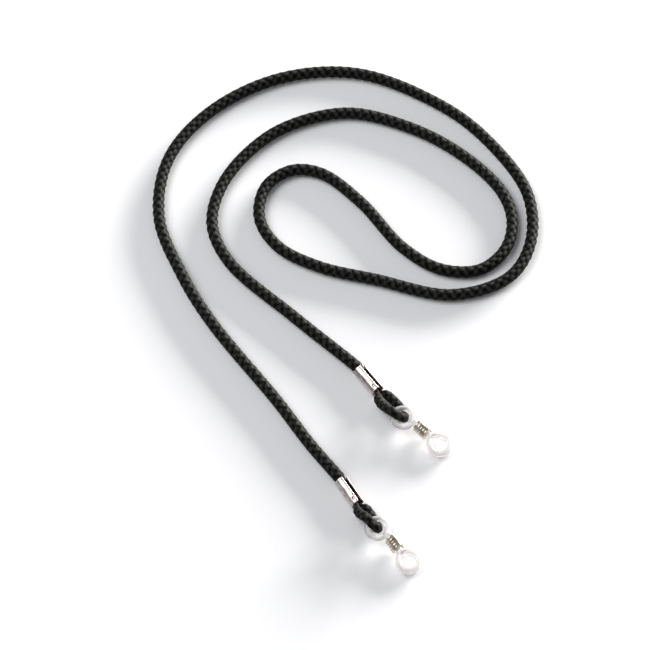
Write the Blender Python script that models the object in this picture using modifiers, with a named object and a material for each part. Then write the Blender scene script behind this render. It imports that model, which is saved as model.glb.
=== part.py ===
"""Eyeglass retainer strap: a soft cord that lies in a doubled-over curl, with a crimped end,
a cord loop and a clear temple-arm connector with a sliding coil at each end.

Frame: the strap lies on z = 0, +X to the right, +Y away, +Z up. The origin is on that surface,
under the middle of the two end fittings. Sizes below are in millimetres; MM turns them into metres.
"""
import math

import bmesh
import bpy
from mathutils import Vector

MM = 0.001
GAP = 0.3                   # clearance kept between neighbouring pieces

# Cord
CORD_D = 3.5
CORE_D = 1.0
SHEATH_WALL = 0.95
CORD_LIFT = 0.03            # the tube's underside above the surface
CORD_POINTS = 80
ROUTE = [
    (-29.2, 51.4), (-48.8, 70.6), (-54.1, 83.6), (-51.9, 96.4), (-44.6, 108.3), (-32.6, 118.5),
    (-13.4, 123.9), (5.4, 118.8), (21.0, 109.2), (33.0, 96.2), (36.4, 85.4), (34.0, 74.9),
    (26.2, 67.9), (14.6, 68.2), (3.2, 75.8), (-9.3, 91.8), (-21.3, 102.1), (-30.1, 103.2),
    (-37.8, 97.6), (-39.9, 86.4), (-34.3, 76.2), (-22.0, 69.1), (-5.1, 64.6), (17.9, 59.2),
    (34.9, 65.2), (41.6, 76.8), (41.3, 94.5), (30.3, 112.9), (16.1, 126.2), (-9.5, 138.2),
    (-33.1, 136.8), (-54.1, 125.3), (-67.4, 107.9), (-70.2, 86.6), (-63.1, 66.4), (-54.1, 49.9),
    (-34.1, 22.4), (-24.4, 7.9),
]

# Crimped ferrule, along its own +X from the cord's side to the loop's side
FERRULE_LENGTH = 9.4
FERRULE_R = 2.05
FERRULE_WALL = 0.4
FERRULE_AXIS_Z = 1.85       # less than the radius, so the underside is pressed flat
SEAM_FROM = math.radians(20)
SEAM_TO = math.radians(80)
DIMPLE_R = 0.6
DIMPLE_DEPTH = 0.22
DIMPLE_ANGLE = math.radians(108)
DIMPLE_BACK = 1.6

# Cord loop at the end, in the ferrule's frame with z from the surface
STRAND_R = 1.5
NECK_STRAND_R = 0.6
NECK_OFFSET = 0.53          # sideways and up or down from the ferrule's axis
GROWN_AT = 2.8              # where a strand has its full thickness
LOOP_POINTS = 36

# Clear connector, along its own +X from the ring's centre to the tip
RING_R = 3.0
RING_WIRE_R = 0.85
RING_Z = 3.68
PITCH = math.radians(8.3)   # the tip leans down to the surface
NECK_ASIDE = 1.3            # the neck, coil and temple loop are in line beside the ring's centre
NECK_R = 1.0
NECK_END = 6.5
TIP_THICKNESS = 2.3
TIP_EDGE = 0.3
OUTER_SMALL = (11.9, 2.6)   # centre and radius of the outline's two circles
OUTER_LARGE = (13.5, 3.85)
HOLE_SMALL = (11.5, 1.1)
HOLE_LARGE = (13.5, 2.1)

# Coil slider round the connector's neck
COIL_START = 4.1
COIL_LENGTH = 5.0
COIL_R = 2.0
COIL_WIRE_R = 0.35
COIL_PITCH = 0.86
COIL_STEPS = 14             # points in each turn

# Each end, on the plan: the ferrule's mouth and heading and the connector's heading in the row
# frame; then, from the mouth, the ring's centre and the loop's line, which goes out under the
# ring, up through it and back over it, with its height above the surface
ENDS = {
    "right": {
        "mouth": (-4.4, 26.0), "heading": -53.5, "connector": -43.0, "ring": (12.4, -0.1),
        "loop": [
            (1.2, 0.9, 1.45), (2.3, 1.4, 1.56), (4.2, 1.75, 1.54), (6.6, 1.95, 1.54),
            (8.8, 1.9, 1.54), (10.2, 1.6, 1.56), (11.5, 0.95, 1.95), (12.3, 0.35, 2.8),
            (12.5, -0.2, 3.9), (12.4, -0.9, 5.05), (11.75, -1.75, 6.1), (10.6, -2.35, 6.55),
            (9.1, -2.7, 6.3), (7.3, -2.8, 5.35), (5.4, -2.7, 4.25), (3.7, -2.3, 3.4),
            (2.3, -1.65, 2.8), (1.2, -0.97, 2.5),
        ],
    },
    "left": {
        "mouth": (-10.5, -12.0), "heading": -58.5, "connector": -54.0, "ring": (10.6, 0.1),
        "loop": [
            (1.2, 0.9, 1.45), (2.3, 1.3, 1.56), (4.2, 1.45, 1.54), (6.2, 1.4, 1.54),
            (7.8, 1.25, 1.54), (9.3, 0.95, 1.92), (10.25, 0.5, 2.8), (10.65, 0.05, 3.9),
            (10.55, -0.5, 5.05), (9.8, -1.0, 6.05), (8.5, -1.35, 6.55), (7.1, -1.55, 6.4),
            (5.6, -1.75, 5.4), (4.2, -1.8, 4.3), (3.0, -1.7, 3.45), (2.0, -1.4, 2.85),
            (1.2, -0.97, 2.55),
        ],
    },
}


def clear_scene():
    for item in list(bpy.data.objects):
        bpy.data.objects.remove(item, do_unlink=True)


def new_collection(name):
    collection = bpy.data.collections.new(name)
    bpy.context.scene.collection.children.link(collection)
    return collection


def new_material(name, colour, roughness, metallic=0.0, transmission=0.0):
    material = bpy.data.materials.new(name)
    material.use_nodes = True
    shader = material.node_tree.nodes["Principled BSDF"]
    shader.inputs["Base Color"].default_value = (*colour, 1.0)
    shader.inputs["Roughness"].default_value = roughness
    shader.inputs["Metallic"].default_value = metallic
    shader.inputs["Transmission Weight"].default_value = transmission
    return material


def place(item, collection, material=None, parent=None):
    """Link an object, give it its material and hang it on its parent."""
    collection.objects.link(item)
    if material:
        item.data.materials.append(material)
    item.parent = parent
    return item


def smooth_path(points, per_span):
    """Centripetal Catmull-Rom curve through the points."""
    points = [Vector(p) for p in points]
    points = [2 * points[0] - points[1]] + points + [2 * points[-1] - points[-2]]
    path = []
    for before, start, end, after in zip(points, points[1:], points[2:], points[3:]):
        t0 = 0.0
        t1 = t0 + (start - before).length ** 0.5
        t2 = t1 + (end - start).length ** 0.5
        t3 = t2 + (after - end).length ** 0.5
        for step in range(per_span):
            t = t1 + (t2 - t1) * step / per_span
            a1 = before.lerp(start, (t - t0) / (t1 - t0))
            a2 = start.lerp(end, (t - t1) / (t2 - t1))
            a3 = end.lerp(after, (t - t2) / (t3 - t2))
            b1 = a1.lerp(a2, (t - t0) / (t2 - t0))
            b2 = a2.lerp(a3, (t - t1) / (t3 - t1))
            path.append(b1.lerp(b2, (t - t1) / (t2 - t1)))
    path.append(points[-2])
    return path


def even_points(path, count):
    """The same path with its points spread evenly along it."""
    lengths = [0.0]
    for a, b in zip(path, path[1:]):
        lengths.append(lengths[-1] + (b - a).length)
    spread = []
    index = 0
    for k in range(count):
        want = lengths[-1] * k / (count - 1)
        while index < len(path) - 2 and lengths[index + 1] < want:
            index += 1
        part = (want - lengths[index]) / (lengths[index + 1] - lengths[index])
        spread.append(path[index].lerp(path[index + 1], part))
    return spread


def tube_curve(name, points, radius, factors=None, caps=True, resolution=2):
    """A round tube along the points; factors scale the radius point by point."""
    curve = bpy.data.curves.new(name, "CURVE")
    curve.dimensions = "3D"
    curve.bevel_depth = radius * MM
    curve.bevel_resolution = resolution
    curve.use_fill_caps = caps
    spline = curve.splines.new("POLY")
    spline.points.add(len(points) - 1)
    for k, point in enumerate(points):
        spline.points[k].co = (*(Vector(point) * MM), 1.0)
        spline.points[k].radius = factors[k] if factors else 1.0
    return bpy.data.objects.new(name, curve)


def curve_to_mesh(item):
    """Replace a curve object by a mesh object of the same name, with its caps welded on."""
    name, parent, collection = item.name, item.parent, item.users_collection[0]
    local = item.matrix_basis.copy()
    bpy.context.view_layer.update()
    seen = item.evaluated_get(bpy.context.evaluated_depsgraph_get())
    mesh = bpy.data.meshes.new_from_object(seen)
    work = bmesh.new()
    work.from_mesh(mesh)
    bmesh.ops.remove_doubles(work, verts=work.verts, dist=0.00001)
    bmesh.ops.recalc_face_normals(work, faces=work.faces)
    work.to_mesh(mesh)
    work.free()
    bpy.data.objects.remove(item, do_unlink=True)
    mesh.name = name
    made = bpy.data.objects.new(name, mesh)
    collection.objects.link(made)
    made.parent = parent
    made.matrix_basis = local
    return made


def shade_round(item, angle=40):
    item.data.shade_smooth()
    item.data.set_sharp_from_angle(angle=math.radians(angle))


def boolean(item, other, operation):
    """Cut or join another object, which is kept as a hidden guide."""
    modifier = item.modifiers.new(operation.lower(), "BOOLEAN")
    modifier.operation = operation
    modifier.object = other
    other.hide_render = True
    other.display_type = "WIRE"


def turned(name, profile, steps):
    """Body turned about its own Z from (radius, height) pairs that run top to bottom."""
    mesh = bpy.data.meshes.new(name)
    edges = [(k, k + 1) for k in range(len(profile) - 1)]
    mesh.from_pydata([(r * MM, 0, h * MM) for r, h in profile], edges, [])
    item = bpy.data.objects.new(name, mesh)
    screw = item.modifiers.new("turn", "SCREW")
    screw.steps = steps
    screw.render_steps = steps
    screw.use_merge_vertices = True
    screw.merge_threshold = 0.00001
    return item


def flat_outline(name, outlines, half_thickness):
    """Flat plate from closed outlines."""
    curve = bpy.data.curves.new(name, "CURVE")
    curve.dimensions = "2D"
    curve.fill_mode = "BOTH"
    curve.extrude = half_thickness * MM
    for outline in outlines:
        spline = curve.splines.new("POLY")
        spline.points.add(len(outline) - 1)
        for k, (x, y) in enumerate(outline):
            spline.points[k].co = (x * MM, y * MM, 0.0, 1.0)
        spline.use_cyclic_u = True
    return bpy.data.objects.new(name, curve)


def teardrop(small, large, steps):
    """Outline round two circles on the X axis, given as (centre, radius)."""
    (x1, r1), (x2, r2) = small, large
    lean = math.acos((r1 - r2) / (x2 - x1))
    points = []
    for k in range(steps + 1):
        angle = lean * (2 * k / steps - 1)
        points.append((x2 + r2 * math.cos(angle), r2 * math.sin(angle)))
    half = steps // 3
    for k in range(half + 1):
        angle = lean + 2 * (math.pi - lean) * k / half
        points.append((x1 + r1 * math.cos(angle), r1 * math.sin(angle)))
    return points


def ferrule_outline(steps=26):
    """Section of the crimped tube: open at the seam, flat underneath."""
    turn = 2 * math.pi - (SEAM_TO - SEAM_FROM)
    inner_r = FERRULE_R - FERRULE_WALL
    outer, inner = [], []
    for side, radius, floor in (
        (outer, FERRULE_R, FERRULE_AXIS_Z),
        (inner, inner_r, FERRULE_AXIS_Z - FERRULE_WALL),
    ):
        corner = math.asin(floor / radius)
        angles = [SEAM_TO + turn * k / steps for k in range(steps + 1)]
        flat = (math.pi + corner, 2 * math.pi - corner)
        kept = [a for a in angles if a < flat[0] - 0.05 or a > flat[1] + 0.05]
        for angle in sorted(kept + list(flat)):
            side.append((radius * math.cos(angle), radius * math.sin(angle)))
    return outer + inner[::-1]


def loop_path(side):
    """Centre line and thickness of the end loop, in the ferrule's frame with z from the surface."""
    low_z = FERRULE_AXIS_Z - NECK_OFFSET
    high_z = FERRULE_AXIS_Z + NECK_OFFSET
    near = [(0.4, NECK_OFFSET + 0.07, low_z)] + ENDS[side]["loop"]
    near.append((0.4, -NECK_OFFSET - 0.07, high_z))
    points = even_points(smooth_path(near, 10), LOOP_POINTS)
    start = Vector((-FERRULE_LENGTH + 0.1, NECK_OFFSET, low_z))
    end = Vector((-FERRULE_LENGTH + 0.1, -NECK_OFFSET, high_z))
    points = [start, Vector((0.0, NECK_OFFSET, low_z))] + points
    points += [Vector((0.0, -NECK_OFFSET, high_z)), end]
    factors = []
    for point in points:
        grown = min(max(point.x / GROWN_AT, 0.0), 1.0)
        grown = grown * grown * (3 - 2 * grown)
        factors.append(NECK_STRAND_R / STRAND_R + (1 - NECK_STRAND_R / STRAND_R) * grown)
    return points, factors


def helix_points():
    radius = COIL_R - COIL_WIRE_R
    rise = COIL_LENGTH - 2 * COIL_WIRE_R
    count = round(rise / COIL_PITCH * COIL_STEPS)
    points = []
    for k in range(count + 1):
        angle = 2 * math.pi * k / COIL_STEPS
        along = COIL_START + COIL_WIRE_R + rise * k / count
        points.append((along, NECK_ASIDE + radius * math.cos(angle), radius * math.sin(angle)))
    return points


def heading_vector(degrees):
    angle = math.radians(degrees)
    return Vector((math.cos(angle), math.sin(angle), 0.0))


def cord_route():
    """The cord's centre line from the right ferrule to the left one."""
    height = CORD_D / 2 + CORD_LIFT
    stops = {}
    for side, end in ENDS.items():
        ahead = heading_vector(end["heading"])
        mouth = Vector((*end["mouth"], height))
        stops[side] = mouth - ahead * (FERRULE_LENGTH + GAP)
    route = [stops["right"]] + [Vector((x, y, height)) for x, y in ROUTE] + [stops["left"]]
    return even_points(smooth_path(route, 12), CORD_POINTS)


def build_cord(parts, paints):
    centre = cord_route()
    sheath = tube_curve("cord_sheath", centre, CORD_D / 2, caps=False)
    sheath = curve_to_mesh(place(sheath, parts))
    sheath.data.materials.append(paints["sheath"])
    wall = sheath.modifiers.new("wall", "SOLIDIFY")
    wall.thickness = SHEATH_WALL * MM
    wall.offset = -1.0
    wall.use_even_offset = True
    shade_round(sheath)
    core = tube_curve("cord_core", centre, CORE_D / 2, resolution=1)
    place(core, parts, paints["core"])


def build_ferrule(side, frame, parts, guides, paints):
    name = "ferrule_" + side
    body = flat_outline(name, [ferrule_outline()], FERRULE_LENGTH / 2)
    body.location = (-FERRULE_LENGTH / 2 * MM, 0, 0)
    body.rotation_euler = (math.pi / 2, 0, math.pi / 2)
    body = curve_to_mesh(place(body, parts, parent=frame))
    body.data.materials.append(paints["ferrule_" + side])
    bpy.ops.mesh.primitive_uv_sphere_add(segments=12, ring_count=8, radius=DIMPLE_R * MM)
    ball = bpy.context.object
    ball.name = "dimple_" + side
    for collection in list(ball.users_collection):
        collection.objects.unlink(ball)
    place(ball, guides, parent=frame)
    reach = FERRULE_R + DIMPLE_R - DIMPLE_DEPTH
    ball.location = Vector((
        -DIMPLE_BACK, reach * math.cos(DIMPLE_ANGLE), reach * math.sin(DIMPLE_ANGLE),
    )) * MM
    boolean(body, ball, "DIFFERENCE")
    shade_round(body)


def build_loop(side, frame, parts, paints):
    points, factors = loop_path(side)
    points = [point - Vector((0, 0, FERRULE_AXIS_Z)) for point in points]
    loop = tube_curve("cord_loop_" + side, points, STRAND_R, factors)
    place(loop, parts, paints["loop_" + side], frame)


def build_eyelet(side, frame, parts, guides, paints):
    bpy.ops.mesh.primitive_torus_add(
        major_segments=28, minor_segments=10,
        major_radius=RING_R * MM, minor_radius=RING_WIRE_R * MM,
    )
    ring = bpy.context.object
    ring.name = "eyelet_" + side
    ring.data.name = ring.name
    for collection in list(ring.users_collection):
        collection.objects.unlink(ring)
    place(ring, parts, paints["eyelet_" + side], frame)
    profile = [
        (0.0, NECK_END), (NECK_R, NECK_END), (NECK_R, 4.1), (1.12, 3.9), (1.3, 3.6),
        (1.35, 3.2), (1.1, 2.85), (0.6, 2.6), (0.0, 2.5),
    ]
    neck = turned("neck_" + side, profile, 14)
    neck.rotation_euler = (0, math.pi / 2, 0)
    neck.location.y = NECK_ASIDE * MM
    place(neck, guides, parent=frame)
    boolean(ring, neck, "UNION")
    shade_round(ring)


def build_temple_loop(side, frame, parts, guides, paints):
    outer = teardrop(OUTER_SMALL, OUTER_LARGE, 24)
    hole = teardrop(HOLE_SMALL, HOLE_LARGE, 16)
    outlines = [[(x, y + NECK_ASIDE) for x, y in outline] for outline in (outer, hole)]
    tip = flat_outline("temple_loop_" + side, outlines, TIP_THICKNESS / 2)
    tip = curve_to_mesh(place(tip, parts, parent=frame))
    tip.data.materials.append(paints["temple_loop_" + side])
    edge = tip.modifiers.new("edge", "BEVEL")
    edge.width = TIP_EDGE * MM
    edge.segments = 2
    edge.limit_method = "ANGLE"
    edge.angle_limit = math.radians(60)
    start = NECK_END + GAP
    end = HOLE_SMALL[0] - HOLE_SMALL[1] - 0.2
    profile = [
        (0.0, end), (0.45, end - 0.12), (0.8, end - 0.4), (NECK_R, end - 0.8),
        (NECK_R, start), (0.0, start),
    ]
    stub = turned("stub_" + side, profile, 14)
    stub.rotation_euler = (0, math.pi / 2, 0)
    stub.location.y = NECK_ASIDE * MM
    place(stub, guides, parent=frame)
    boolean(tip, stub, "UNION")
    shade_round(tip)


def build_coil(side, frame, parts, paints):
    coil = tube_curve("coil_" + side, helix_points(), COIL_WIRE_R)
    place(coil, parts, paints["coil_" + side], frame)


def build_end(side, parts, guides, paints):
    end = ENDS[side]
    ahead = heading_vector(end["heading"])
    aside = Vector((-ahead.y, ahead.x, 0.0))
    mouth = Vector((*end["mouth"], FERRULE_AXIS_Z))
    crimp = bpy.data.objects.new("crimp_frame_" + side, None)
    crimp.location = mouth * MM
    crimp.rotation_euler = (0, 0, math.radians(end["heading"]))
    place(crimp, parts)
    hinge = bpy.data.objects.new("swing_frame_" + side, None)
    centre = mouth + ahead * end["ring"][0] + aside * end["ring"][1]
    centre.z = RING_Z
    hinge.location = centre * MM
    hinge.rotation_euler = (0, PITCH, math.radians(end["connector"]))
    place(hinge, parts)
    build_ferrule(side, crimp, parts, guides, paints)
    build_loop(side, crimp, parts, paints)
    build_eyelet(side, hinge, parts, guides, paints)
    build_temple_loop(side, hinge, parts, guides, paints)
    build_coil(side, hinge, parts, paints)


def make_materials():
    paints = {
        "sheath": new_material("black_knit", (0.02, 0.02, 0.021), 0.85),
        "core": new_material("core_yarn", (0.55, 0.54, 0.5), 0.9),
    }
    for side in ENDS:
        paints["ferrule_" + side] = new_material("nickel_" + side, (0.78, 0.76, 0.73), 0.22, 1.0)
        paints["loop_" + side] = new_material("black_loop_" + side, (0.02, 0.02, 0.021), 0.85)
        for piece in ("eyelet_", "temple_loop_"):
            paints[piece + side] = new_material(
                "clear_" + piece + side, (0.93, 0.93, 0.92), 0.15, 0.0, 0.9,
            )
        paints["coil_" + side] = new_material("spring_" + side, (0.7, 0.68, 0.62), 0.25, 1.0)
    return paints


def main():
    clear_scene()
    parts = new_collection("eyeglass_retainer_strap")
    guides = new_collection("guides")
    paints = make_materials()
    build_cord(parts, paints)
    for side in ENDS:
        build_end(side, parts, guides, paints)


main()
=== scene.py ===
"""Looks of the eyeglass retainer strap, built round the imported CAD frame.

Shapes are worked out in millimetres, in each fitting's own frame, and add_mesh or melded turns
them into metres in the row frame. Every CAD solid has a stand-in here, with a single one for the
cord's sheath and core: the cord, its two end loops, the rolled ferrules, the clear rings and
temple loops, and the coil sliders.
"""
import math

import bmesh
import bpy
import numpy as np
from mathutils import Matrix, Vector


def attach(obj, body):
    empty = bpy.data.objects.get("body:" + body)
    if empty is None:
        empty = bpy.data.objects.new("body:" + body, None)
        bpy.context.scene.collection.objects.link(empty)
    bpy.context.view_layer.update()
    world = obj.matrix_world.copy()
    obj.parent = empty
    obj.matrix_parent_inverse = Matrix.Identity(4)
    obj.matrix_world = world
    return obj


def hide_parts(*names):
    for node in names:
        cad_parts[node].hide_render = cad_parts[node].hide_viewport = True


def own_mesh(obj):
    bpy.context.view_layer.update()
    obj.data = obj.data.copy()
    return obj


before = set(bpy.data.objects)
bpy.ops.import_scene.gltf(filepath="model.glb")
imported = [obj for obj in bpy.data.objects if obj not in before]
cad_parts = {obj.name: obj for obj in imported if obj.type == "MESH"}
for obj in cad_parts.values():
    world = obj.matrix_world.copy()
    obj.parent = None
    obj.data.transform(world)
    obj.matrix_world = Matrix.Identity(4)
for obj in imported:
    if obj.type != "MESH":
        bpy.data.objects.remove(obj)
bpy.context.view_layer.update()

MM = 0.001
UP = np.array([0.0, 0.0, 1.0])

# ---------------------------------------------------------------- camera
CAMERA_TARGET = Vector((-20.1, 49.8, 0.0)) * MM
CAMERA_ELEVATION = math.radians(59.5)
CAMERA_DISTANCE = 1.493
CAMERA_LENS = 277.0


def make_camera():
    """Long lens, looking along +Y and down at the strap."""
    camera = bpy.data.objects.new("camera", bpy.data.cameras.new("camera"))
    bpy.context.scene.collection.objects.link(camera)
    camera.data.lens = CAMERA_LENS
    camera.data.sensor_width = 36.0
    camera.data.clip_start = 0.05
    camera.data.clip_end = 20.0
    back = Vector((0.0, -math.cos(CAMERA_ELEVATION), math.sin(CAMERA_ELEVATION)))
    camera.location = CAMERA_TARGET + back * CAMERA_DISTANCE
    camera.rotation_mode = "QUATERNION"
    camera.rotation_quaternion = (-back).to_track_quat("-Z", "Y")
    bpy.context.scene.camera = camera


# ---------------------------------------------------------------- sizes in mm
# the CAD's own, apart from the lines that say otherwise
CORD_LIFT = 0.03
GAP = 0.3                   # between the CAD cord's end and its ferrule
CORD_TUCK = 1.1             # the cord reaches this far into its ferrule; the CAD's stops before it
CORD_PINCHED_R = 1.38       # its radius there
CORD_SWELL = 1.5            # length over which the cord swells out of the ferrule
CORD_FULL_R = 1.84          # to the crowns; the mean comes out at 1.7, near the CAD's 1.75
ROUTE = [
    (-29.2, 51.4), (-48.8, 70.6), (-54.1, 83.6), (-51.9, 96.4), (-44.6, 108.3), (-32.6, 118.5),
    (-13.4, 123.9), (5.4, 118.8), (21.0, 109.2), (33.0, 96.2), (36.4, 85.4), (34.0, 74.9),
    (26.2, 67.9), (14.6, 68.2), (3.2, 75.8), (-9.3, 91.8), (-21.3, 102.1), (-30.1, 103.2),
    (-37.8, 97.6), (-39.9, 86.4), (-34.3, 76.2), (-22.0, 69.1), (-5.1, 64.6), (17.9, 59.2),
    (34.9, 65.2), (41.6, 76.8), (41.3, 94.5), (30.3, 112.9), (16.1, 126.2), (-9.5, 138.2),
    (-33.1, 136.8), (-54.1, 125.3), (-67.4, 107.9), (-70.2, 86.6), (-63.1, 66.4), (-54.1, 49.9),
    (-34.1, 22.4), (-24.4, 7.9),
]
FERRULE_LENGTH = 9.4
FERRULE_R = 2.05
FERRULE_WALL = 0.4
FERRULE_AXIS_Z = 1.85
NECK_OFFSET = 0.53          # of a loop's leg, sideways and up or down from the ferrule's axis
NECK_STRAND_R = 0.6         # the legs' radius in the ferrule
STRAND_R = 1.5              # the loop's, from GROWN_AT past the mouth
GROWN_AT = 2.8
RING_R = 3.0
RING_WIRE_R = 0.85
RING_Z = 3.68
PITCH = math.radians(8.3)   # the connector slopes down from its ring
NECK_ASIDE = 1.3            # the neck, coil and temple loop are in line beside the ring's centre
NECK_R = 1.0
OUTER_SMALL = (11.9, 2.6)   # centre and radius of the outline's two circles
OUTER_LARGE = (13.5, 3.85)
HOLE_SMALL = (11.5, 1.1)
HOLE_LARGE = (13.5, 2.1)
TIP_THICKNESS = 2.3
COIL_START = 4.1
COIL_LENGTH = 5.0
COIL_WIRE_R = 0.35
COIL_WIRE_SHOWN = 0.38      # a little fuller than the CAD's wire, as the turns nearly touch
COIL_MIDDLE_SHOWN = 1.68    # the wire's middle from the axis, so that the bore stays 2.6 mm wide
COIL_PITCH = 0.86
ENDS = {
    "right": {
        "mouth": (-4.4, 26.0), "heading": -53.5, "connector": -43.0, "ring": (12.4, -0.1),
        "loop": [
            (1.2, 0.9, 1.45), (2.3, 1.4, 1.56), (4.2, 1.75, 1.54), (6.6, 1.95, 1.54),
            (8.8, 1.9, 1.54), (10.2, 1.6, 1.56), (11.5, 0.95, 1.95), (12.3, 0.35, 2.8),
            (12.5, -0.2, 3.9), (12.4, -0.9, 5.05), (11.75, -1.75, 6.1), (10.6, -2.35, 6.55),
            (9.1, -2.7, 6.3), (7.3, -2.8, 5.35), (5.4, -2.7, 4.25), (3.7, -2.3, 3.4),
            (2.3, -1.65, 2.8), (1.2, -0.97, 2.5),
        ],
    },
    "left": {
        "mouth": (-10.5, -12.0), "heading": -58.5, "connector": -54.0, "ring": (10.6, 0.1),
        "loop": [
            (1.2, 0.9, 1.45), (2.3, 1.3, 1.56), (4.2, 1.45, 1.54), (6.2, 1.4, 1.54),
            (7.8, 1.25, 1.54), (9.3, 0.95, 1.92), (10.25, 0.5, 2.8), (10.65, 0.05, 3.9),
            (10.55, -0.5, 5.05), (9.8, -1.0, 6.05), (8.5, -1.35, 6.55), (7.1, -1.55, 6.4),
            (5.6, -1.75, 5.4), (4.2, -1.8, 4.3), (3.0, -1.7, 3.45), (2.0, -1.4, 2.85),
            (1.2, -0.97, 2.55),
        ],
    },
}


# ---------------------------------------------------------------- lines and frames
def smooth_path(points, per_span):
    """Centripetal Catmull-Rom curve through the points."""
    points = [Vector(p) for p in points]
    points = [2 * points[0] - points[1]] + points + [2 * points[-1] - points[-2]]
    path = []
    for before, start, end, after in zip(points, points[1:], points[2:], points[3:]):
        t0 = 0.0
        t1 = t0 + (start - before).length ** 0.5
        t2 = t1 + (end - start).length ** 0.5
        t3 = t2 + (after - end).length ** 0.5
        for step in range(per_span):
            t = t1 + (t2 - t1) * step / per_span
            a1 = before.lerp(start, (t - t0) / (t1 - t0))
            a2 = start.lerp(end, (t - t1) / (t2 - t1))
            a3 = end.lerp(after, (t - t2) / (t3 - t2))
            b1 = a1.lerp(a2, (t - t0) / (t2 - t0))
            b2 = a2.lerp(a3, (t - t1) / (t3 - t1))
            path.append(b1.lerp(b2, (t - t1) / (t2 - t1)))
    path.append(points[-2])
    return np.array(path)


def run_of(line):
    """Distance along the line at each of its points."""
    return np.concatenate([[0.0], np.cumsum(np.linalg.norm(np.diff(line, axis=0), axis=1))])


def evenly(line, step):
    """The line again, with its points spread evenly at about the step."""
    along = run_of(line)
    at = np.linspace(0.0, along[-1], int(round(along[-1] / step)) + 1)
    return np.stack([np.interp(at, along, line[:, k]) for k in range(3)], axis=1)


def ease(value):
    """Smooth rise from 0 to 1."""
    value = np.clip(value, 0.0, 1.0)
    return value * value * (3.0 - 2.0 * value)


def frames_of(line):
    """Tangent and two cross directions at each point, carried along without twist."""
    tangent = np.gradient(line, axis=0)
    tangent /= np.linalg.norm(tangent, axis=1)[:, None]
    first = np.empty_like(line)
    aside = np.cross(UP, tangent[0])
    first[0] = aside / np.linalg.norm(aside)
    for k in range(1, len(line)):
        aside = first[k - 1] - tangent[k] * (first[k - 1] @ tangent[k])
        first[k] = aside / np.linalg.norm(aside)
    return tangent, first, np.cross(tangent, first)


def placing(side, swing):
    """Matrix from a fitting's frame, in mm, to the row frame, in mm."""
    end = ENDS[side]
    turn = Matrix.Rotation(math.radians(end["heading"]), 4, "Z")
    crimp = Matrix.Translation((*end["mouth"], 0.0)) @ turn
    if not swing:
        return crimp
    centre = crimp @ Vector((*end["ring"], RING_Z))
    turn = Matrix.Rotation(math.radians(end["connector"]), 4, "Z")
    return Matrix.Translation(centre) @ turn @ Matrix.Rotation(PITCH, 4, "Y")


def add_mesh(name, points, faces, material, matrix=None):
    """New shown mesh object from points in mm."""
    mesh = bpy.data.meshes.new(name)
    mesh.from_pydata([tuple(p) for p in np.asarray(points, float).tolist()], [], faces)
    if matrix is not None:
        mesh.transform(matrix)
    mesh.transform(Matrix.Scale(MM, 4))
    mesh.shade_smooth()
    mesh.materials.append(material)
    mesh.update()
    item = bpy.data.objects.new(name, mesh)
    bpy.context.scene.collection.objects.link(item)
    return item


def tube_faces(rings, around):
    """Quads of a tube whose points run ring by ring, and the fans that close its two ends."""
    ring = np.arange(rings - 1)[:, None] * around
    step = np.arange(around)
    ahead = (step + 1) % around
    quads = np.stack([ring + step, ring + ahead, ring + around + ahead, ring + around + step], -1)
    faces = quads.reshape(-1, 4).tolist()
    first, last, end = rings * around, rings * around + 1, (rings - 1) * around
    faces += [[int(ahead[j]), int(step[j]), first] for j in range(around)]
    faces += [[int(end + step[j]), int(end + ahead[j]), last] for j in range(around)]
    return faces


# ---------------------------------------------------------------- braid
STRANDS = 4                 # strands in each direction
REPEAT = 2.6                # one stitch along the cord
LOOP_REPEAT = 2.2           # and along the end loops, where the cord is drawn thinner
WEAVE = 0.095               # share of the radius a strand rises and sinks
ROUNDING = 0.21             # share of the radius a strand's own crown has
STRAND_FILL = 0.97          # share of its lane that a strand fills
SQUARENESS = 2.3            # share of a strand's painted crown highlight that is left where it dives under; the rest is painted shade
PAINTED_SHEEN_UNDER = 0.55          # share of a strand's light tone that is left where it dives under
AROUND = 32                 # points round the cord
RING_STEP = 0.275           # between rings of points along the cord
ALONG_PER_MM = 1.4          # strand length for each millimetre of cord


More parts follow.
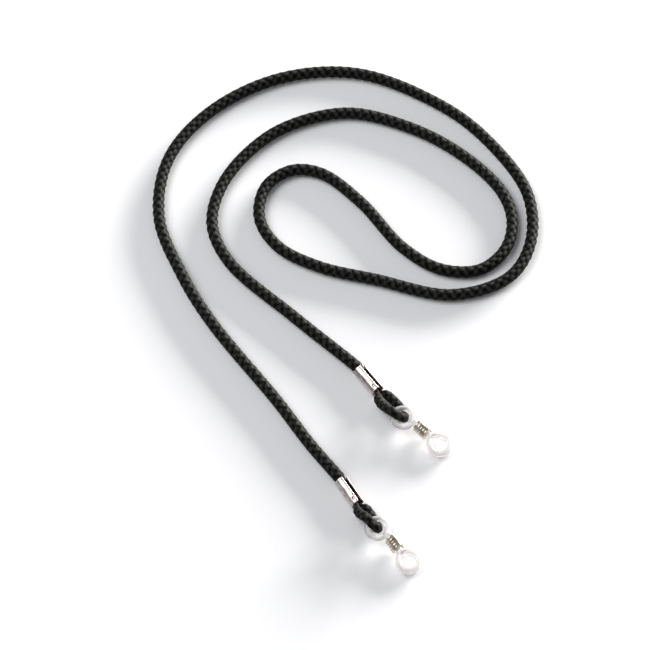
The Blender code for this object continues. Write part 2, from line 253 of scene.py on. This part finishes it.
def braid(name, line, radius, material, repeat, matrix=None):
    """Closed tube whose surface is a round braid, one strand over and one under."""
    count = len(line)
    _, first, second = frames_of(line)
    along = run_of(line)
    theta = 2 * np.pi * np.arange(AROUND + 1) / AROUND
    cell = 2 * np.pi / STRANDS
    twist = along[:, None] / repeat
    right = theta[None, :] / cell - twist
    left = theta[None, :] / cell + twist
    right_of, left_of = np.round(right), np.round(left)

    def crown(offset):
        """How high a strand stands, across its lane."""
        rise = 1 - np.abs(2 * offset / STRAND_FILL) ** SQUARENESS
        return np.clip(rise, 0, None) ** (1 / SQUARENESS)

    over_right = WEAVE * np.cos(np.pi * left) * (-1.0) ** right_of
    over_left = -WEAVE * np.cos(np.pi * right) * (-1.0) ** left_of
    right_h = over_right + ROUNDING * crown(right - right_of)
    left_h = over_left + ROUNDING * crown(left - left_of)
    base = 1 - WEAVE - ROUNDING
    height = (base + np.maximum(right_h, left_h)) * np.asarray(radius)[:, None]
    r = height[:, :-1, None]
    points = line[:, None, :] + r * (
        np.cos(theta[:-1])[None, :, None] * first[:, None, :]
        + np.sin(theta[:-1])[None, :, None] * second[:, None, :]
    )
    points = np.concatenate([points.reshape(-1, 3), line[:1], line[-1:]])
    item = add_mesh(name, points, tube_faces(count, AROUND), material, matrix)
    # painted light: a sheen highlight painted along each strand's crown, fading to painted shade in
    # the pits at its edges and where it dives under
    lift = np.clip(np.maximum(over_right, over_left) / WEAVE, 0, 1)
    profile = np.where(right_h >= left_h, crown(right - right_of), crown(left - left_of))
    painted_crown_sheen = (profile * (PAINTED_SHEEN_UNDER + (1 - PAINTED_SHEEN_UNDER) * lift))[:, :-1]
    layer = item.data.attributes.new("crown", "FLOAT", "POINT")
    layer.data.foreach_set("value", np.append(painted_crown_sheen.ravel(), [0, 0]).astype(np.float32))
    # yarn layer: across and along the strand that is on top, for each corner
    corners = [(0, 0), (0, 1), (1, 1), (1, 0)]
    mid_right = (right[:-1, :-1] + right[1:, 1:]) / 2
    mid_left = (left[:-1, 1:] + left[1:, :-1]) / 2
    mid_on_right = (right_h[:-1, :-1] + right_h[1:, 1:]) >= (left_h[:-1, :-1] + left_h[1:, 1:])
    own_right, own_left = np.round(mid_right), np.round(mid_left)
    uv = []
    for down, over in corners:
        a = right[down : count - 1 + down, over : AROUND + over]
        b = left[down : count - 1 + down, over : AROUND + over]
        across = np.where(mid_on_right, a - own_right, b - own_left)
        number = np.where(mid_on_right, own_right, own_left + 40)
        run = along[down : count - 1 + down, None] * ALONG_PER_MM
        uv.append(np.stack([across + 7.3 * (number % 11), run + 13.7 * (number % 7)], -1))
    flat = np.stack(uv, 2).reshape(-1, 2)
    ends = np.zeros((AROUND * 6, 2))
    layer = item.data.uv_layers.new(name="yarn")
    layer.data.foreach_set("uv", np.concatenate([flat, ends]).astype(np.float32).ravel())
    return item


def cord_line():
    """Centre line of the cord from one ferrule to the other, with its tucked ends."""
    height = CORD_FULL_R + CORD_LIFT
    stops = []
    for end in ENDS.values():
        angle = math.radians(end["heading"])
        ahead = Vector((math.cos(angle), math.sin(angle), 0.0))
        back = Vector((*end["mouth"], height)) - ahead * FERRULE_LENGTH
        stops.append((back + ahead * CORD_TUCK, back - ahead * GAP))
    route = [stops[0][0], stops[0][1]] + [Vector((x, y, height)) for x, y in ROUTE]
    route += [stops[1][1], stops[1][0]]
    return evenly(smooth_path(route, 40), RING_STEP)


LOOP_FROM = -8.0            # both legs start this deep in the ferrule
LOOP_STEP = 0.2


def loop_line(side):
    """The end loop's centre line and radius, in the ferrule's frame with z from the surface."""
    low_z = FERRULE_AXIS_Z - NECK_OFFSET
    high_z = FERRULE_AXIS_Z + NECK_OFFSET
    out = [
        (LOOP_FROM, NECK_OFFSET, low_z), (-2.0, NECK_OFFSET, low_z), (0.4, NECK_OFFSET + 0.07, low_z),
    ]
    back = [(x, -y, high_z) for x, y, _ in out[::-1]]
    line = evenly(smooth_path(out + ENDS[side]["loop"] + back, 30), LOOP_STEP)
    grown = ease(line[:, 0] / GROWN_AT)
    return line, NECK_STRAND_R + (STRAND_R - NECK_STRAND_R) * grown


# ---------------------------------------------------------------- ferrule
SEAM_FROM = math.radians(13)    # the CAD's seam is narrower, from 20 to 80 degrees
SEAM_TO = math.radians(82)
DIMPLE_ANGLE = math.radians(108)
DIMPLE_BACK = 1.6
DIMPLE_DEPTH = 0.24
DIMPLE_WIDTH = 0.42
RIM = 0.17                  # rounding of the sheet's cut edge
BELL = 0.07                 # widening at both mouths
WAVE = 0.035                # unevenness left by the crimping tool
FLAT_SOFTNESS = 0.12        # rounding where the flat underside begins
SLICE = 0.15                # between sections along the sleeve


def ferrule(name, material, matrix):
    """Sleeve rolled from thin sheet: open seam with rounded lips, rounded rims, one punch mark."""
    half = FERRULE_WALL / 2
    middle = FERRULE_R - half
    steps, lip = 88, 7
    turn = 2 * math.pi - (SEAM_TO - SEAM_FROM)
    lip_turn = half / middle
    arc = np.linspace(SEAM_TO + lip_turn, SEAM_TO + turn - lip_turn, steps)
    # one closed section: (angle, offset from the sheet's middle, share along the lip)
    section = [(a, 1.0) for a in arc]
    for k in range(1, lip):
        swing = math.pi * k / lip
        section.append((arc[-1] + lip_turn * math.sin(swing), math.cos(swing)))
    section += [(a, -1.0) for a in arc[::-1]]
    for k in range(1, lip):
        swing = math.pi * k / lip
        section.append((arc[0] - lip_turn * math.sin(swing), -math.cos(swing)))
    angle = np.array([s[0] for s in section])
    offset = np.array([s[1] for s in section])
    fine = RIM * (1 - np.cos(np.linspace(0, np.pi / 2, 6)))
    body = np.arange(RIM + SLICE, FERRULE_LENGTH - RIM - 0.1, SLICE)
    at = np.concatenate([fine, body, FERRULE_LENGTH - fine[::-1]])
    points = []
    for x in at:
        inside = min(x, FERRULE_LENGTH - x)
        short = max(RIM - inside, 0.0)
        thick = half - RIM + math.sqrt(max(RIM**2 - short**2, 0))
        belled = BELL * math.exp(-((inside / 0.8) ** 2))
        px = x - FERRULE_LENGTH
        gap = np.hypot(px + DIMPLE_BACK, (angle - DIMPLE_ANGLE) * FERRULE_R)
        dent = DIMPLE_DEPTH * np.exp(-((gap / DIMPLE_WIDTH) ** 4))
        wave = WAVE * np.sin(2.1 * angle + 0.55 * px) * np.sin(0.62 * px + 0.4)
        r = middle + offset * thick + belled - dent + wave
        y, z = r * np.cos(angle), r * np.sin(angle)
        floor = -(FERRULE_AXIS_Z - (half - offset * thick)) + 0.02
        low = z - floor
        z = floor + (low + np.sqrt(low**2 + FLAT_SOFTNESS**2)) / 2
        points.append(np.stack([np.full_like(y, px), y, z + FERRULE_AXIS_Z], 1))
    count = len(angle)
    points = np.concatenate(points)
    faces = []
    for i in range(len(at) - 1):
        for j in range(count):
            n = (j + 1) % count
            faces.append([i * count + j, (i + 1) * count + j, (i + 1) * count + n, i * count + n])
    inner_first = steps + lip - 1

    def mate(j):
        """The inner point that faces outer point j."""
        return inner_first + (steps - 1 - j)

    for i, flip in ((0, True), (len(at) - 1, False)):
        base = i * count
        ring = []
        for j in range(steps - 1):
            ring.append([base + j, base + j + 1, base + mate(j + 1), base + mate(j)])
        lip_a = [base + steps - 1 + k for k in range(lip)] + [base + mate(steps - 1)]
        lip_b = [base + mate(0) + k for k in range(lip)] + [base]
        for face in ring + [lip_a, lip_b]:
            faces.append(face[::-1] if flip else face)
    item = add_mesh(name, points, faces, material, matrix)
    settle(item)
    return item


def settle(item):
    """Weld coincident points and turn every face outwards."""
    work = bmesh.new()
    work.from_mesh(item.data)
    bmesh.ops.remove_doubles(work, verts=work.verts, dist=1e-7)
    bmesh.ops.recalc_face_normals(work, faces=work.faces)
    work.to_mesh(item.data)
    work.free()
    item.data.shade_smooth()


# ---------------------------------------------------------------- clear connector
VOXEL = 0.12
BAND_CENTRE = 13.4          # the temple loop is drawn round this point on its axis
BAND_SQUARENESS = 2.9       # of the band's section; 2 is round
NECK_VISIBLE_END = 8.6      # the neck goes on under the coil, and the temple loop starts in it


def melded(name, parts, material, matrix, smoothing):
    """Join closed point-and-face parts, in mm, into one moulded skin."""
    mesh = bpy.data.meshes.new(name)
    points, faces = [], []
    for some_points, some_faces in parts:
        base = len(points)
        points += [tuple(p) for p in np.asarray(some_points, float).tolist()]
        faces += [[base + k for k in face] for face in some_faces]
    mesh.from_pydata(points, [], faces)
    item = bpy.data.objects.new(name, mesh)
    bpy.context.scene.collection.objects.link(item)
    remesh = item.modifiers.new("meld", "REMESH")
    remesh.mode = "VOXEL"
    remesh.voxel_size = VOXEL
    smooth = item.modifiers.new("smooth", "SMOOTH")
    smooth.factor = 0.5
    smooth.iterations = smoothing
    bpy.context.view_layer.update()
    seen = item.evaluated_get(bpy.context.evaluated_depsgraph_get())
    made = bpy.data.meshes.new_from_object(seen)
    bpy.data.objects.remove(item)
    bpy.data.meshes.remove(mesh)
    made.name = name
    made.transform(matrix)
    made.transform(Matrix.Scale(MM, 4))
    made.shade_smooth()
    made.materials.clear()
    made.materials.append(material)
    made.update()
    item = bpy.data.objects.new(name, made)
    bpy.context.scene.collection.objects.link(item)
    return item


def ring_part(radius, wire, steps=96, around=28):
    """Torus round z."""
    big = 2 * np.pi * np.arange(steps) / steps
    small = 2 * np.pi * np.arange(around) / around
    points = []
    for a in big:
        r = radius + wire * np.cos(small)
        points.append(np.stack([r * math.cos(a), r * math.sin(a), wire * np.sin(small)], 1))
    faces = []
    for i in range(steps):
        for j in range(around):
            n, m = (i + 1) % steps, (j + 1) % around
            faces.append([i * around + j, n * around + j, n * around + m, i * around + m])
    return np.concatenate(points), faces


def rod_part(profile, around=32):
    """Closed body turned about the neck's axis from (x, radius) pairs."""
    angle = 2 * np.pi * np.arange(around) / around
    points = [
        np.stack([np.full(around, x), NECK_ASIDE + r * np.cos(angle), r * np.sin(angle)], 1)
        for x, r in profile
    ]
    tips = [(profile[0][0], NECK_ASIDE, 0), (profile[-1][0], NECK_ASIDE, 0)]
    points = np.concatenate(points + [tips])
    return points, tube_faces(len(profile), around)


def drop_distance(x, y, small, large):
    """Signed distance to the outline round two circles on the X axis."""
    (x1, r1), (x2, r2) = small, large
    span = x2 - x1
    slope = (r1 - r2) / span
    rise = math.sqrt(1 - slope * slope)
    px, py = abs(y), x - x1
    k = -slope * px + rise * py
    if k < 0:
        return math.hypot(px, py) - r1
    if k > rise * span:
        return math.hypot(px, py - span) - r2
    return rise * px + slope * py - r1


def drop_reach(angle, centre, small, large):
    """How far the outline is from a point inside it, in one direction."""
    low, high = 0.0, 12.0
    for _ in range(40):
        mid = (low + high) / 2
        inside = drop_distance(
            centre + mid * math.cos(angle), mid * math.sin(angle), small, large
        ) < 0
        low, high = (mid, high) if inside else (low, mid)
    return low


def band_part(steps=120, around=28):
    """The temple loop: a soft band between the drop-shaped outline and its hole."""
    points = []
    for k in range(steps):
        a = 2 * math.pi * k / steps
        outer = drop_reach(a, BAND_CENTRE, OUTER_SMALL, OUTER_LARGE)
        inner = drop_reach(a, BAND_CENTRE, HOLE_SMALL, HOLE_LARGE)
        half, middle = (outer - inner) / 2, (outer + inner) / 2
        for j in range(around):
            s = 2 * math.pi * j / around
            c, d = math.cos(s), math.sin(s)
            power = 2 / BAND_SQUARENESS
            reach = middle + half * math.copysign(abs(c) ** power, c)
            height = TIP_THICKNESS / 2 * math.copysign(abs(d) ** power, d)
            points.append((
                BAND_CENTRE + reach * math.cos(a), NECK_ASIDE + reach * math.sin(a), height,
            ))
    faces = []
    for i in range(steps):
        for j in range(around):
            n, m = (i + 1) % steps, (j + 1) % around
            faces.append([i * around + j, n * around + j, n * around + m, i * around + m])
    return np.array(points), faces


def eyelet(name, material, matrix):
    """Ring and neck, melded."""
    neck = [
        (2.2, 0.6), (2.5, 1.05), (2.9, 1.3), (3.3, 1.36), (3.6, 1.28), (3.9, 1.12), (4.2, NECK_R),
        (NECK_VISIBLE_END - 0.2, NECK_R), (NECK_VISIBLE_END, NECK_R - 0.2),
    ]
    return melded(name, [ring_part(RING_R, RING_WIRE_R), rod_part(neck)], material, matrix, 14)


def temple_loop(name, material, matrix):
    """Flat band round the hole, melded with the stub that it grows from."""
    stub = [
        (NECK_VISIBLE_END - 0.3, 0.9), (9.0, NECK_R), (9.3, 1.12), (9.7, 1.15), (10.1, 0.5),
    ]
    return melded(name, [band_part(), rod_part(stub)], material, matrix, 16)


# ---------------------------------------------------------------- coil
TURN_STEPS = 44             # points in one turn
WIRE_AROUND = 14
END_ROUNDING = 0.16         # length over which the wire's cut ends are rounded


def coil(name, material, matrix):
    """Round wire wound about the connector's axis."""
    radius = COIL_MIDDLE_SHOWN
    rise = COIL_LENGTH - 2 * COIL_WIRE_R
    turns = rise / COIL_PITCH
    count = int(turns * TURN_STEPS)
    share = np.linspace(0, 1, count + 1)
    angle = 2 * np.pi * turns * share
    line = np.stack([
        COIL_START + COIL_WIRE_R + rise * share,
        NECK_ASIDE + radius * np.cos(angle), radius * np.sin(angle),
    ], 1)
    tangent = np.gradient(line, axis=0)
    tangent /= np.linalg.norm(tangent, axis=1)[:, None]
    out = np.stack([np.zeros_like(angle), np.cos(angle), np.sin(angle)], 1)
    other = np.cross(tangent, out)
    s = 2 * np.pi * np.arange(WIRE_AROUND) / WIRE_AROUND
    step = 2 * math.pi * radius / TURN_STEPS
    from_tip = np.minimum(np.arange(count + 1), np.arange(count + 1)[::-1]) * step
    r = COIL_WIRE_SHOWN * np.sqrt(1 - np.clip(1 - from_tip / END_ROUNDING, 0, 0.75) ** 2)
    points = line[:, None, :] + r[:, None, None] * (
        np.cos(s)[None, :, None] * out[:, None, :] + np.sin(s)[None, :, None] * other[:, None, :]
    )
    points = np.concatenate([points.reshape(-1, 3), line[:1], line[-1:]])
    return add_mesh(name, points, tube_faces(count + 1, WIRE_AROUND), material, matrix)


# ---------------------------------------------------------------- materials
def new_material(name):
    material = bpy.data.materials.new(name)
    material.use_nodes = True
    return material, material.node_tree, material.node_tree.nodes["Principled BSDF"]


def cord_material():
    material, tree, shader = new_material("black_cord")
    add, link = tree.nodes.new, tree.links.new
    uv = add("ShaderNodeUVMap")
    uv.uv_map = "yarn"
    stretch = add("ShaderNodeMapping")
    stretch.inputs["Scale"].default_value = (15.0, 0.9, 1.0)
    link(uv.outputs["UV"], stretch.inputs["Vector"])
    fibre = add("ShaderNodeTexNoise")
    fibre.inputs["Scale"].default_value = 1.0
    fibre.inputs["Detail"].default_value = 3.0
    link(stretch.outputs["Vector"], fibre.inputs["Vector"])
    # painted light: the strands' crowns are painted lighter as a sheen highlight, and the pits
    # between them and the places where a strand dives under are painted darker as shade
    crown = add("ShaderNodeAttribute")
    crown.attribute_name = "crown"
    crown_sheen = add("ShaderNodeMapRange")
    crown_sheen.inputs["From Min"].default_value = 0.55
    crown_sheen.inputs["From Max"].default_value = 1.0
    link(crown.outputs["Fac"], crown_sheen.inputs["Value"])
    sheen_and_fibre = add("ShaderNodeMath")
    sheen_and_fibre.operation = "MULTIPLY"
    link(crown_sheen.outputs["Result"], sheen_and_fibre.inputs[0])
    link(fibre.outputs["Fac"], sheen_and_fibre.inputs[1])
    # near black in the painted shade, up to the painted sheen on the crowns, broken up by the fibre
    # grain
    tone = add("ShaderNodeValToRGB")
    tone.color_ramp.elements[0].position = 0.1
    tone.color_ramp.elements[0].color = (0.0004, 0.0004, 0.0004, 1)
    tone.color_ramp.elements[1].position = 0.5
    tone.color_ramp.elements[1].color = (0.032, 0.032, 0.0275, 1)
    link(sheen_and_fibre.outputs["Value"], tone.inputs["Fac"])
    link(tone.outputs["Color"], shader.inputs["Base Color"])
    rough = add("ShaderNodeMapRange")
    rough.inputs["From Min"].default_value = 0.3
    rough.inputs["From Max"].default_value = 0.75
    rough.inputs["To Min"].default_value = 0.7
    rough.inputs["To Max"].default_value = 0.48
    link(fibre.outputs["Fac"], rough.inputs["Value"])
    link(rough.outputs["Result"], shader.inputs["Roughness"])
    bump = add("ShaderNodeBump")
    bump.inputs["Strength"].default_value = 0.8
    bump.inputs["Distance"].default_value = 0.00007
    link(fibre.outputs["Fac"], bump.inputs["Height"])
    link(bump.outputs["Normal"], shader.inputs["Normal"])
    shader.inputs["Sheen Weight"].default_value = 0.015
    shader.inputs["Sheen Roughness"].default_value = 0.4
    shader.inputs["Specular IOR Level"].default_value = 0.09
    return material


def metal_material(name, light, dark, roughness, grain_scale):
    """Bright metal with cloudy tone and a fine grain; roughness is its (least, most)."""
    material, tree, shader = new_material(name)
    add, link = tree.nodes.new, tree.links.new
    place = add("ShaderNodeTexCoord")
    stretch = add("ShaderNodeMapping")
    stretch.inputs["Scale"].default_value = grain_scale
    link(place.outputs["Object"], stretch.inputs["Vector"])
    grain = add("ShaderNodeTexNoise")
    grain.inputs["Scale"].default_value = 1.0
    grain.inputs["Detail"].default_value = 4.0
    link(stretch.outputs["Vector"], grain.inputs["Vector"])
    cloud = add("ShaderNodeTexNoise")
    cloud.inputs["Scale"].default_value = 700.0
    cloud.inputs["Detail"].default_value = 3.0
    link(place.outputs["Object"], cloud.inputs["Vector"])
    tone = add("ShaderNodeValToRGB")
    tone.color_ramp.elements[0].position = 0.3
    tone.color_ramp.elements[0].color = (*dark, 1)
    tone.color_ramp.elements[1].position = 0.62
    tone.color_ramp.elements[1].color = (*light, 1)
    link(cloud.outputs["Fac"], tone.inputs["Fac"])
    link(tone.outputs["Color"], shader.inputs["Base Color"])
    rough = add("ShaderNodeMapRange")
    rough.inputs["From Min"].default_value = 0.3
    rough.inputs["From Max"].default_value = 0.7
    rough.inputs["To Min"].default_value = roughness[0]
    rough.inputs["To Max"].default_value = roughness[1]
    link(grain.outputs["Fac"], rough.inputs["Value"])
    link(rough.outputs["Result"], shader.inputs["Roughness"])
    bump = add("ShaderNodeBump")
    bump.inputs["Strength"].default_value = 0.15
    bump.inputs["Distance"].default_value = 0.00001
    link(grain.outputs["Fac"], bump.inputs["Height"])
    link(bump.outputs["Normal"], shader.inputs["Normal"])
    shader.inputs["Metallic"].default_value = 1.0
    return material


def silicone_material():
    material, tree, shader = new_material("clear_silicone")
    add, link = tree.nodes.new, tree.links.new
    place = add("ShaderNodeTexCoord")
    cloud = add("ShaderNodeTexNoise")
    cloud.inputs["Scale"].default_value = 260.0
    cloud.inputs["Detail"].default_value = 3.0
    link(place.outputs["Object"], cloud.inputs["Vector"])
    tone = add("ShaderNodeValToRGB")
    tone.color_ramp.elements[0].position = 0.25
    tone.color_ramp.elements[0].color = (0.97, 0.93, 0.92, 1)
    tone.color_ramp.elements[1].position = 0.7
    tone.color_ramp.elements[1].color = (0.995, 0.982, 0.972, 1)
    link(cloud.outputs["Fac"], tone.inputs["Fac"])
    link(tone.outputs["Color"], shader.inputs["Base Color"])
    rough = add("ShaderNodeMapRange")
    rough.inputs["From Min"].default_value = 0.3
    rough.inputs["From Max"].default_value = 0.7
    rough.inputs["To Min"].default_value = 0.1
    rough.inputs["To Max"].default_value = 0.24
    link(cloud.outputs["Fac"], rough.inputs["Value"])
    link(rough.outputs["Result"], shader.inputs["Roughness"])
    bump = add("ShaderNodeBump")
    bump.inputs["Strength"].default_value = 0.12
    bump.inputs["Distance"].default_value = 0.00005
    link(cloud.outputs["Fac"], bump.inputs["Height"])
    link(bump.outputs["Normal"], shader.inputs["Normal"])
    shader.inputs["IOR"].default_value = 1.41
    shader.inputs["Transmission Weight"].default_value = 0.7
    return material


def floor_material():
    material, _, shader = new_material("white_floor")
    shader.inputs["Base Color"].default_value = (0.94, 0.94, 0.945, 1)
    shader.inputs["Roughness"].default_value = 0.9
    shader.inputs["Specular IOR Level"].default_value = 0.1
    return material


# ---------------------------------------------------------------- stage
def area_light(name, azimuth, elevation, distance, size, power, colour):
    """Softbox, (width, height) in size, aimed at the strap; azimuth turns from +X towards +Y."""
    data = bpy.data.lights.new(name, "AREA")
    data.shape = "RECTANGLE"
    data.size, data.size_y = size
    data.energy = power
    data.color = colour
    lamp = bpy.data.objects.new(name, data)
    a, e = math.radians(azimuth), math.radians(elevation)
    away = Vector((math.cos(a) * math.cos(e), math.sin(a) * math.cos(e), math.sin(e)))
    lamp.location = CAMERA_TARGET + away * distance
    lamp.rotation_mode = "QUATERNION"
    lamp.rotation_quaternion = away.to_track_quat("Z", "Y")
    bpy.context.scene.collection.objects.link(lamp)


FLOOR_REACH = 1500          # from the middle to each side


def make_stage():
    """White floor, weak sky and two softboxes."""
    corners = [
        (-FLOOR_REACH, -FLOOR_REACH, 0), (FLOOR_REACH, -FLOOR_REACH, 0),
        (FLOOR_REACH, FLOOR_REACH, 0), (-FLOOR_REACH, FLOOR_REACH, 0),
    ]
    floor = add_mesh("floor", corners, [[0, 1, 2, 3]], floor_material())
    world = bpy.data.worlds.new("studio")
    world.use_nodes = True
    background = world.node_tree.nodes["Background"]
    background.inputs["Color"].default_value = (0.96, 0.97, 1.0, 1)
    background.inputs["Strength"].default_value = 0.27
    bpy.context.scene.world = world
    # the low, wide key draws the long soft shadows; the overhead box is the ferrules' bright band
    area_light("key", 48, 9.0, 2.2, (1.5, 0.62), 175.0, (1.0, 0.985, 0.965))
    area_light("overhead", 165, 56, 1.4, (0.95, 0.95), 11.4, (0.97, 0.98, 1.0))
    bpy.context.scene.view_settings.view_transform = "Standard"


make_camera()
paints = {
    "cord": cord_material(),
    "nickel": metal_material(
        "nickel", (0.66, 0.60, 0.58), (0.36, 0.315, 0.295), (0.26, 0.4), (900.0, 900.0, 2500.0),
    ),
    "steel": metal_material(
        "spring_steel", (0.80, 0.76, 0.66), (0.40, 0.36, 0.27), (0.16, 0.3), (1500.0, 1500.0, 1500.0),
    ),
    "silicone": silicone_material(),
}

line = cord_line()
along = run_of(line)
from_end = np.minimum(along, along[-1] - along)
swelling = ease((from_end - CORD_TUCK * 0.6) / CORD_SWELL)
radii = CORD_PINCHED_R + (CORD_FULL_R - CORD_PINCHED_R) * swelling
run = braid("cord_run", line, radii, paints["cord"], REPEAT)
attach(run, "strap")
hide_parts("cord_sheath", "cord_core")

for side in ENDS:
    crimp, swing = placing(side, False), placing(side, True)
    loop_points, loop_radii = loop_line(side)
    loop = braid("loop_" + side, loop_points, loop_radii, paints["cord"], LOOP_REPEAT, crimp)
    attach(loop, "strap")
    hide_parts("cord_loop_" + side)
    sleeve = ferrule("sleeve_" + side, paints["nickel"], crimp)
    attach(sleeve, "strap")
    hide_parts("ferrule_" + side)
    ring = eyelet("clear_ring_" + side, paints["silicone"], swing)
    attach(ring, "connector_" + side)
    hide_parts("eyelet_" + side)
    tip = temple_loop("clear_tip_" + side, paints["silicone"], swing)
    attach(tip, "connector_" + side)
    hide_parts("temple_loop_" + side)
    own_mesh(tip)
    spring = coil("spring_" + side, paints["steel"], swing)
    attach(spring, "slider_" + side)
    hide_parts("coil_" + side)

make_stage()
